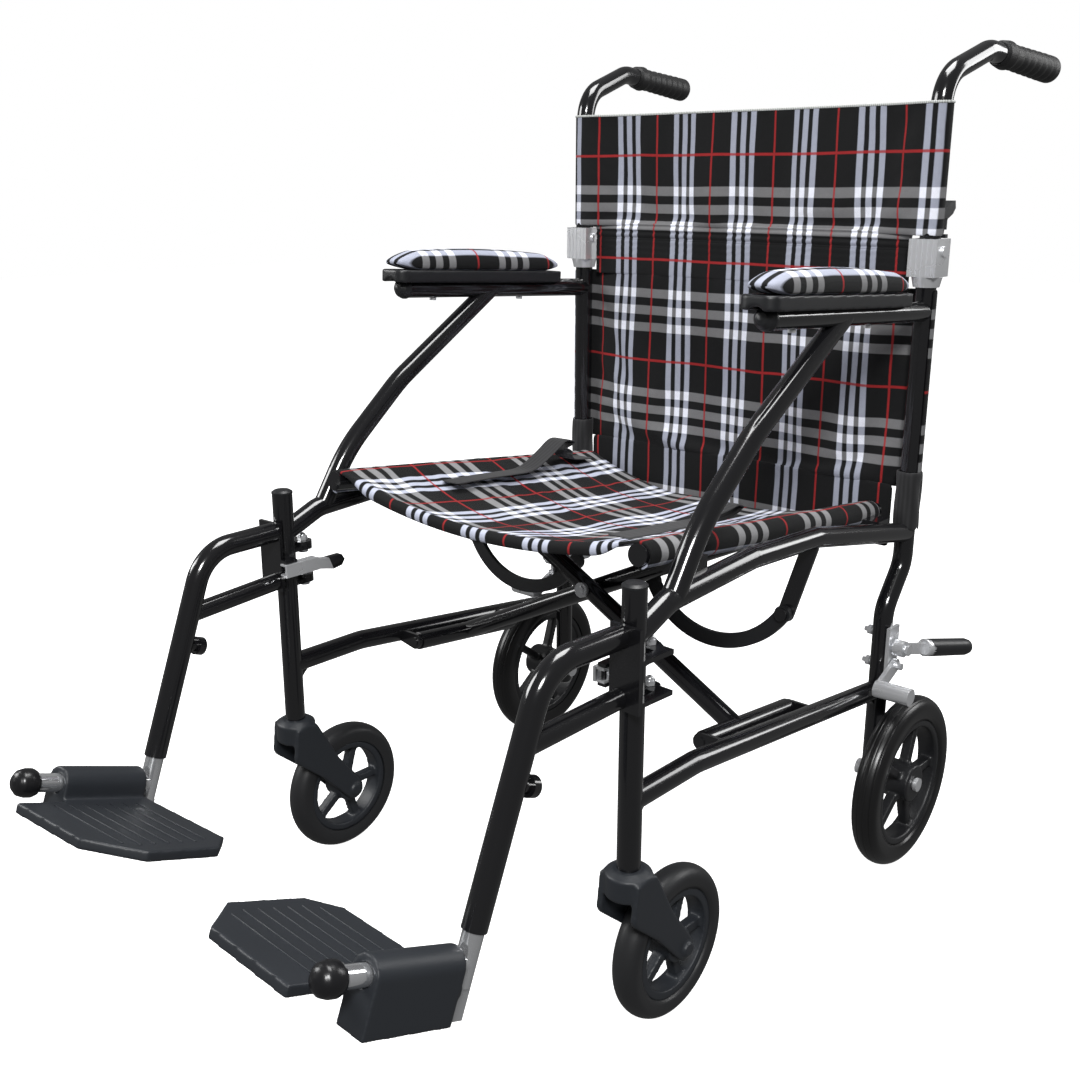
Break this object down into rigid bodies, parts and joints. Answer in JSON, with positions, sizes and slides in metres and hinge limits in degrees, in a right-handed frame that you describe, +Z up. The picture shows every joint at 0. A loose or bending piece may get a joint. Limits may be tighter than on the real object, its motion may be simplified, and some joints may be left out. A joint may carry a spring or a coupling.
{
  "type": "transport wheelchair",
  "caption": "Folding transport wheelchair: cross-brace frame, sling seat and fold-down back, swing-away footrests, casters, push-to-lock rear wheels.",
  "frame": {"origin": "on the floor under the middle of the overall box", "axes": "+Z up, the occupant faces -Y, the occupant's left is +X"},
  "size_m": [0.6066, 1.1012, 0.9234],
  "materials": {
    "frame_black": "gloss black powder coat",
    "black_plastic": "satin moulded",
    "fork_plastic": "fine-grained glass-filled nylon",
    "bright_metal": "bright zinc and nickel plate",
    "chrome_tube": "bright chrome",
    "link_steel": "satin black",
    "grey_tyre": "smooth dark grey",
    "black_tyre": "moulded black",
    "grip_rubber": "matt, ribbed",
    "plaid_fabric": "woven tartan check",
    "belt_webbing": "woven webbing"
  },
  "bodies": {
    "frame_left": {"front_post_left": "frame_black", "lower_rail_left": "frame_black", "arched_rail_left": "frame_black", "armrest_frame_left": "frame_black", "rear_post_left": "frame_black", "end_caps_left": "black_plastic", "armrest_base_left": "black_plastic", "armrest_pad_left": "plaid_fabric", "hinge_block_left": "bright_metal", "frame_bolts_left": "bright_metal", "wheel_lock_base_left": "bright_metal", "back_lower": "plaid_fabric"},
    "frame_right": {"front_post_right": "frame_black", "lower_rail_right": "frame_black", "arched_rail_right": "frame_black", "armrest_frame_right": "frame_black", "rear_post_right": "frame_black", "end_caps_right": "black_plastic", "armrest_base_right": "black_plastic", "armrest_pad_right": "plaid_fabric", "hinge_block_right": "bright_metal", "frame_bolts_right": "bright_metal", "wheel_lock_base_right": "bright_metal"},
    "brace_a": {"cross_brace_a": "frame_black", "brace_pivot_bolt": "bright_metal"},
    "brace_b": {"cross_brace_b": "frame_black"},
    "seat": {"seat_sling": "plaid_fabric", "seat_belt": "belt_webbing"},
    "link_left": {"brace_link_left": "link_steel"},
    "caster_fork_left": {"caster_fork_left": "fork_plastic"},
    "caster_wheel_left": {"caster_tyre_left": "grey_tyre", "caster_rim_left": "black_plastic"},
    "rear_wheel_left": {"rear_tyre_left": "black_tyre", "rear_rim_left": "black_plastic"},
    "cane_left": {"cane_left": "frame_black", "grip_left": "grip_rubber", "back_upper": "plaid_fabric"},
    "back_latch_left": {"back_latch_left": "black_plastic"},
    "hanger_left": {"hanger_left": "frame_black"},
    "hanger_latch_left": {"hanger_latch_left": "bright_metal"},
    "extension_left": {"extension_left": "chrome_tube"},
    "footplate_left": {"footplate_left": "fork_plastic"},
    "wheel_lock_lever_left": {"wheel_lock_lever_left": "bright_metal"},
    "wheel_lock_shoe_left": {"wheel_lock_shoe_left": "bright_metal"},
    "link_right": {"brace_link_right": "link_steel"},
    "caster_fork_right": {"caster_fork_right": "fork_plastic"},
    "caster_wheel_right": {"caster_tyre_right": "grey_tyre", "caster_rim_right": "black_plastic"},
    "rear_wheel_right": {"rear_tyre_right": "black_tyre", "rear_rim_right": "black_plastic"},
    "cane_right": {"cane_right": "frame_black", "grip_right": "grip_rubber"},
    "back_latch_right": {"back_latch_right": "black_plastic"},
    "hanger_right": {"hanger_right": "frame_black"},
    "hanger_latch_right": {"hanger_latch_right": "bright_metal"},
    "extension_right": {"extension_right": "chrome_tube"},
    "footplate_right": {"footplate_right": "fork_plastic"},
    "wheel_lock_lever_right": {"wheel_lock_lever_right": "bright_metal"},
    "wheel_lock_shoe_right": {"wheel_lock_shoe_right": "bright_metal"}
  },
  "joints": [
    {"name": "fold", "type": "hinge", "parent": "frame_left", "child": "brace_a", "pos_m": [0.208, 0.0317, 0.23192], "axis": [0, 0.994, -0.1097], "range_deg": [0, 38], "deforming": ["seat_sling", "seat_belt", "back_lower", "back_upper"]},
    {"name": "fold_crossing", "type": "hinge", "parent": "brace_a", "child": "brace_b", "pos_m": [0, 0.043, 0.33429], "axis": [0, 0.994, -0.1097], "range_deg": [-76, 0]},
    {"name": "fold_right_frame", "type": "hinge", "parent": "brace_b", "child": "frame_right", "pos_m": [-0.208, 0.0317, 0.23192], "axis": [0, 0.994, -0.1097], "range_deg": [0, 38]},
    {"name": "fold_seat", "type": "hinge", "parent": "brace_b", "child": "seat", "pos_m": [0.208, -0.157, 0.46], "axis": [0, 0.994, -0.1097], "range_deg": [0, 38]},
    {"name": "fold_link_left", "type": "hinge", "parent": "frame_left", "child": "link_left", "pos_m": [0.222, 0.07695, 0.34564], "axis": [0, 0.994, -0.1097], "range_deg": [0, 60]},
    {"name": "fold_link_right", "type": "hinge", "parent": "frame_right", "child": "link_right", "pos_m": [-0.222, 0.07695, 0.34564], "axis": [0, 0.994, -0.1097], "range_deg": [-60, 0]},
    {"name": "caster_swivel_left", "type": "hinge", "parent": "frame_left", "child": "caster_fork_left", "pos_m": [0.241, -0.203, 0.19], "axis": [0, 0, 1], "continuous": true},
    {"name": "caster_roll_left", "type": "hinge", "parent": "caster_fork_left", "child": "caster_wheel_left", "pos_m": [0.241, -0.1383, 0.0762], "axis": [1, 0, 0], "continuous": true},
    {"name": "rear_roll_left", "type": "hinge", "parent": "frame_left", "child": "rear_wheel_left", "pos_m": [0.2795, 0.271, 0.1016], "axis": [1, 0, 0], "continuous": true},
    {"name": "back_fold_left", "type": "hinge", "parent": "frame_left", "child": "cane_left", "pos_m": [0.241, 0.308, 0.703], "axis": [-1, 0, 0], "range_deg": [0, 90]},
    {"name": "back_latch_turn_left", "type": "hinge", "parent": "cane_left", "child": "back_latch_left", "pos_m": [0.241, 0.3255, 0.731], "axis": [1, 0, 0], "range_deg": [0, 5]},
    {"name": "footrest_swing_left", "type": "hinge", "parent": "frame_left", "child": "hanger_left", "pos_m": [0.241, -0.179, 0.37], "axis": [0, 0, 1], "range_deg": [0, 95]},
    {"name": "footrest_latch_left", "type": "hinge", "parent": "frame_left", "child": "hanger_latch_left", "pos_m": [0.2205, -0.217, 0.37], "axis": [0, 0, 1], "range_deg": [0, 15]},
    {"name": "footrest_length_left", "type": "slide", "parent": "hanger_left", "child": "extension_left", "axis": [-0.0192, -0.366, -0.9304], "range_m": [0, 0.08]},
    {"name": "footplate_flip_left", "type": "hinge", "parent": "extension_left", "child": "footplate_left", "pos_m": [0.22948, -0.39877, 0.18288], "axis": [0.0487, 0.9291, -0.3665], "range_deg": [0, 90]},
    {"name": "wheel_lock_left", "type": "hinge", "parent": "frame_left", "child": "wheel_lock_lever_left", "pos_m": [0.262, 0.271, 0.262], "axis": [1, 0, 0], "range_deg": [0, 36]},
    {"name": "wheel_lock_shoe_turn_left", "type": "hinge", "parent": "frame_left", "child": "wheel_lock_shoe_left", "pos_m": [0.262, 0.271, 0.24], "axis": [1, 0, 0], "range_deg": [0, 18]},
    {"name": "caster_swivel_right", "type": "hinge", "parent": "frame_right", "child": "caster_fork_right", "pos_m": [-0.241, -0.203, 0.19], "axis": [0, 0, 1], "continuous": true},
    {"name": "caster_roll_right", "type": "hinge", "parent": "caster_fork_right", "child": "caster_wheel_right", "pos_m": [-0.241, -0.1383, 0.0762], "axis": [1, 0, 0], "continuous": true},
    {"name": "rear_roll_right", "type": "hinge", "parent": "frame_right", "child": "rear_wheel_right", "pos_m": [-0.2795, 0.271, 0.1016], "axis": [1, 0, 0], "continuous": true},
    {"name": "back_fold_right", "type": "hinge", "parent": "frame_right", "child": "cane_right", "pos_m": [-0.241, 0.308, 0.703], "axis": [-1, 0, 0], "range_deg": [0, 90]},
    {"name": "back_latch_turn_right", "type": "hinge", "parent": "cane_right", "child": "back_latch_right", "pos_m": [-0.241, 0.3255, 0.731], "axis": [1, 0, 0], "range_deg": [0, 5]},
    {"name": "footrest_swing_right", "type": "hinge", "parent": "frame_right", "child": "hanger_right", "pos_m": [-0.241, -0.179, 0.37], "axis": [0, 0, -1], "range_deg": [0, 95]},
    {"name": "footrest_latch_right", "type": "hinge", "parent": "frame_right", "child": "hanger_latch_right", "pos_m": [-0.2205, -0.217, 0.37], "axis": [0, 0, -1], "range_deg": [0, 15]},
    {"name": "footrest_length_right", "type": "slide", "parent": "hanger_right", "child": "extension_right", "axis": [0.0192, -0.366, -0.9304], "range_m": [0, 0.08]},
    {"name": "footplate_flip_right", "type": "hinge", "parent": "extension_right", "child": "footplate_right", "pos_m": [-0.22948, -0.39877, 0.18288], "axis": [0.0487, -0.9291, 0.3665], "range_deg": [0, 90]},
    {"name": "wheel_lock_right", "type": "hinge", "parent": "frame_right", "child": "wheel_lock_lever_right", "pos_m": [-0.262, 0.271, 0.262], "axis": [1, 0, 0], "range_deg": [0, 36]},
    {"name": "wheel_lock_shoe_turn_right", "type": "hinge", "parent": "frame_right", "child": "wheel_lock_shoe_right", "pos_m": [-0.262, 0.271, 0.24], "axis": [1, 0, 0], "range_deg": [0, 18]}
  ],
  "couplings": [
    {"joint": "fold_crossing", "follows": "fold", "ratio": -2},
    {"joint": "fold_right_frame", "follows": "fold", "ratio": 1},
    {"joint": "fold_seat", "follows": "fold", "ratio": 1},
    {"joint": "fold_link_left", "follows": "fold", "ratio": 1.41},
    {"joint": "fold_link_right", "follows": "fold", "ratio": -1.41},
    {"joint": "footplate_flip_left", "follows": "fold", "ratio": 2.3684},
    {"joint": "wheel_lock_shoe_turn_left", "follows": "wheel_lock_left", "ratio": 0.5},
    {"joint": "back_fold_right", "follows": "back_fold_left", "ratio": 1},
    {"joint": "footplate_flip_right", "follows": "fold", "ratio": 2.3684},
    {"joint": "wheel_lock_shoe_turn_right", "follows": "wheel_lock_right", "ratio": 0.5}
  ]
}
